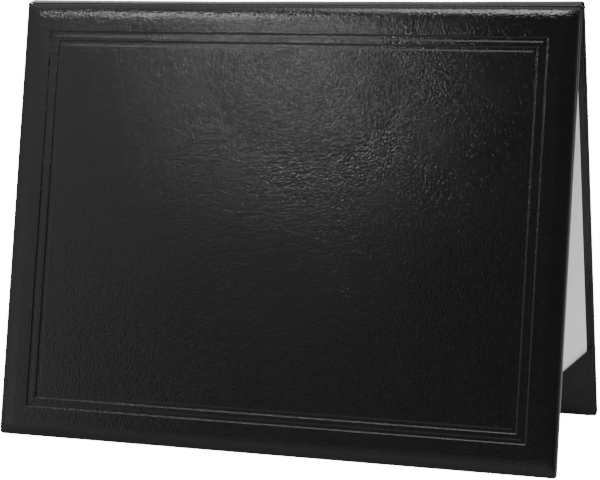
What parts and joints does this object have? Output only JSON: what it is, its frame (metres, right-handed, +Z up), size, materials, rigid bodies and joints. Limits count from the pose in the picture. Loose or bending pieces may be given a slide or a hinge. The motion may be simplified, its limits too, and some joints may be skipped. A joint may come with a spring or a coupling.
{
  "type": "diploma cover",
  "caption": "Padded black leatherette certificate cover with white linings and corner pockets, stood open like a tent.",
  "frame": {"origin": "on the floor, midway between the two foot edges and midway along the fold", "axes": "+X along the fold, -Y the way the tooled front cover faces, +Z up"},
  "size_m": [0.292, 0.12, 0.2223],
  "materials": {
    "leatherette": "black pebbled leatherette with a soft sheen",
    "foam": "thin open foam",
    "board": "grey binder's board",
    "lining": "white ribbed lining cloth",
    "pocket": "black leatherette over paper",
    "fold": "black leatherette, stretched over the fold"
  },
  "bodies": {
    "back_cover": {"back_skin": "leatherette", "back_pad": "foam", "back_board": "board", "back_lining": "lining", "pocket_top_left": "pocket", "pocket_top_right": "pocket", "pocket_foot_left": "pocket", "pocket_foot_right": "pocket", "fold_skin": "fold", "fold_liner": "fold"},
    "front_cover": {"front_skin": "leatherette", "front_pad": "foam", "front_board": "board", "front_lining": "lining"}
  },
  "joints": [
    {"name": "cover_fold", "type": "hinge", "parent": "back_cover", "child": "front_cover", "pos_m": [0, 0, 0.22038], "axis": [-1, 0, 0], "range_deg": [-27.8, 152.2], "deforming": ["fold_skin", "fold_liner"]}
  ]
}
